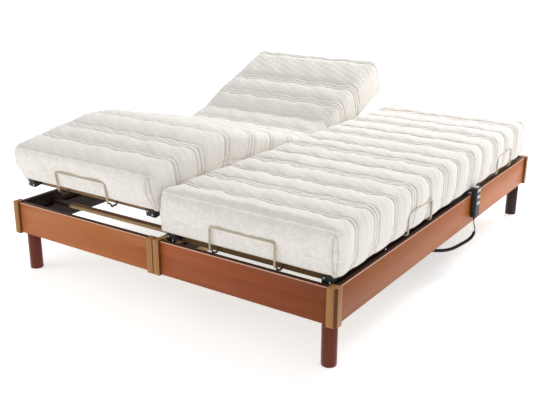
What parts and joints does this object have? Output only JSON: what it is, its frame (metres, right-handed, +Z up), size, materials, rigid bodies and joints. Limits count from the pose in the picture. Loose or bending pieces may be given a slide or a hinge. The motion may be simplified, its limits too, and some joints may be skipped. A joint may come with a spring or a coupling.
{
  "type": "adjustable bed base",
  "caption": "Low twin electric bed base: veneered frame on round legs, hinged back, thigh and calf sections with quilted mattresses, wire retainers, lifting gear and a wired handset.",
  "frame": {"origin": "on the floor under the centre of the bed, at the foot of the middle leg", "axes": "+X to the right seen from the foot end, +Y from foot to head, +Z up"},
  "size_m": [1.6783, 2.06, 0.7705],
  "materials": {
    "cherry_veneer": "satin lacquered cherry veneer",
    "beech": "satin lacquered beech",
    "birch_slats": "multi-ply birch slats",
    "leg_wood": "satin stained turned beech",
    "ivory_wire": "ivory powder coat",
    "lifter_steel": "black powder coat",
    "black_plastic": "fine grained moulding",
    "grey_plastic": "satin",
    "ticking": "quilted off-white knitted ticking",
    "cord_rubber": "matt black"
  },
  "bodies": {
    "base": {"foot_rail_left": "cherry_veneer", "foot_strip_left": "beech", "corner_post_foot_left": "beech", "leg_foot_left": "leg_wood", "foot_rail_right": "cherry_veneer", "foot_strip_right": "beech", "corner_post_foot_right": "beech", "leg_foot_right": "leg_wood", "head_rail_left": "cherry_veneer", "head_strip_left": "beech", "corner_post_head_left": "beech", "leg_head_left": "leg_wood", "head_rail_right": "cherry_veneer", "head_strip_right": "beech", "corner_post_head_right": "beech", "leg_head_right": "leg_wood", "side_rail_left": "cherry_veneer", "side_rail_right": "cherry_veneer", "centre_rail": "cherry_veneer", "leg_centre": "leg_wood", "fixed_frame_left": "beech", "drive_housing_left": "black_plastic", "mattress_seat_left": "ticking", "fixed_frame_right": "beech", "drive_housing_right": "black_plastic", "mattress_seat_right": "ticking", "handset": "black_plastic", "handset_lead": "cord_rubber", "handset_curl": "cord_rubber"},
    "back_left": {"back_frame_left": "beech", "back_slats_left": "birch_slats", "mattress_back_left": "ticking", "back_hoop_left": "ivory_wire"},
    "thigh_left": {"thigh_frame_left": "beech", "thigh_slats_left": "birch_slats", "mattress_thigh_left": "ticking", "thigh_hoop_left": "ivory_wire"},
    "calf_left": {"calf_frame_left": "beech", "calf_slats_left": "birch_slats", "mattress_calf_left": "ticking", "foot_hoop_left": "ivory_wire"},
    "back_shaft_left": {"back_lifter_left": "lifter_steel"},
    "leg_shaft_left": {"leg_lifter_left": "lifter_steel"},
    "back_right": {"back_frame_right": "beech", "back_slats_right": "birch_slats", "mattress_back_right": "ticking", "back_hoop_right": "ivory_wire"},
    "thigh_right": {"thigh_frame_right": "beech", "thigh_slats_right": "birch_slats", "mattress_thigh_right": "ticking", "thigh_hoop_right": "ivory_wire"},
    "calf_right": {"calf_frame_right": "beech", "calf_slats_right": "birch_slats", "mattress_calf_right": "ticking", "foot_hoop_right": "ivory_wire"},
    "back_shaft_right": {"back_lifter_right": "lifter_steel"},
    "leg_shaft_right": {"leg_lifter_right": "lifter_steel"},
    "rocker_1": {"handset_rocker_1": "grey_plastic"},
    "rocker_2": {"handset_rocker_2": "grey_plastic"},
    "rocker_3": {"handset_rocker_3": "grey_plastic"}
  },
  "joints": [
    {"name": "back_tilt_left", "type": "hinge", "parent": "base", "child": "back_left", "pos_m": [-0.411, 0.25, 0.32], "axis": [1, 0, 0], "range_deg": [-22, 38]},
    {"name": "thigh_tilt_left", "type": "hinge", "parent": "base", "child": "thigh_left", "pos_m": [-0.411, 0.05, 0.32], "axis": [-1, 0, 0], "range_deg": [-12.7, 17.3]},
    {"name": "knee_left", "type": "hinge", "parent": "thigh_left", "child": "calf_left", "pos_m": [-0.411, -0.54508, 0.45411], "axis": [1, 0, 0], "range_deg": [-20.75, 28.25]},
    {"name": "back_shaft_turn_left", "type": "hinge", "parent": "base", "child": "back_shaft_left", "pos_m": [-0.411, 0.272, 0.282], "axis": [1, 0, 0], "range_deg": [-22.05, 38.05]},
    {"name": "leg_shaft_turn_left", "type": "hinge", "parent": "base", "child": "leg_shaft_left", "pos_m": [-0.411, 0.04, 0.282], "axis": [-1, 0, 0], "range_deg": [-12.75, 17.35]},
    {"name": "back_tilt_right", "type": "hinge", "parent": "base", "child": "back_right", "pos_m": [0.411, 0.25, 0.32], "axis": [1, 0, 0], "range_deg": [0, 60]},
    {"name": "thigh_tilt_right", "type": "hinge", "parent": "base", "child": "thigh_right", "pos_m": [0.411, 0.05, 0.32], "axis": [-1, 0, 0], "range_deg": [0, 30]},
    {"name": "knee_right", "type": "hinge", "parent": "thigh_right", "child": "calf_right", "pos_m": [0.411, -0.56, 0.32], "axis": [1, 0, 0], "range_deg": [0, 48.95]},
    {"name": "back_shaft_turn_right", "type": "hinge", "parent": "base", "child": "back_shaft_right", "pos_m": [0.411, 0.272, 0.282], "axis": [1, 0, 0], "range_deg": [0, 60.05]},
    {"name": "leg_shaft_turn_right", "type": "hinge", "parent": "base", "child": "leg_shaft_right", "pos_m": [0.411, 0.04, 0.282], "axis": [-1, 0, 0], "range_deg": [0, 30.05]},
    {"name": "rocker_1_press", "type": "hinge", "parent": "base", "child": "rocker_1", "pos_m": [0.8405, 0.235, 0.338], "axis": [0, 0, 1], "range_deg": [-4, 4], "stiffness_Nm_per_rad": 0.4},
    {"name": "rocker_2_press", "type": "hinge", "parent": "base", "child": "rocker_2", "pos_m": [0.8405, 0.235, 0.308], "axis": [0, 0, 1], "range_deg": [-4, 4], "stiffness_Nm_per_rad": 0.4},
    {"name": "rocker_3_press", "type": "hinge", "parent": "base", "child": "rocker_3", "pos_m": [0.8405, 0.235, 0.278], "axis": [0, 0, 1], "range_deg": [-4, 4], "stiffness_Nm_per_rad": 0.4}
  ],
  "couplings": [
    {"joint": "knee_left", "follows": "thigh_tilt_left", "ratio": 1.63},
    {"joint": "back_shaft_turn_left", "follows": "back_tilt_left", "ratio": 1},
    {"joint": "leg_shaft_turn_left", "follows": "thigh_tilt_left", "ratio": 1},
    {"joint": "knee_right", "follows": "thigh_tilt_right", "ratio": 1.63},
    {"joint": "back_shaft_turn_right", "follows": "back_tilt_right", "ratio": 1},
    {"joint": "leg_shaft_turn_right", "follows": "thigh_tilt_right", "ratio": 1}
  ]
}
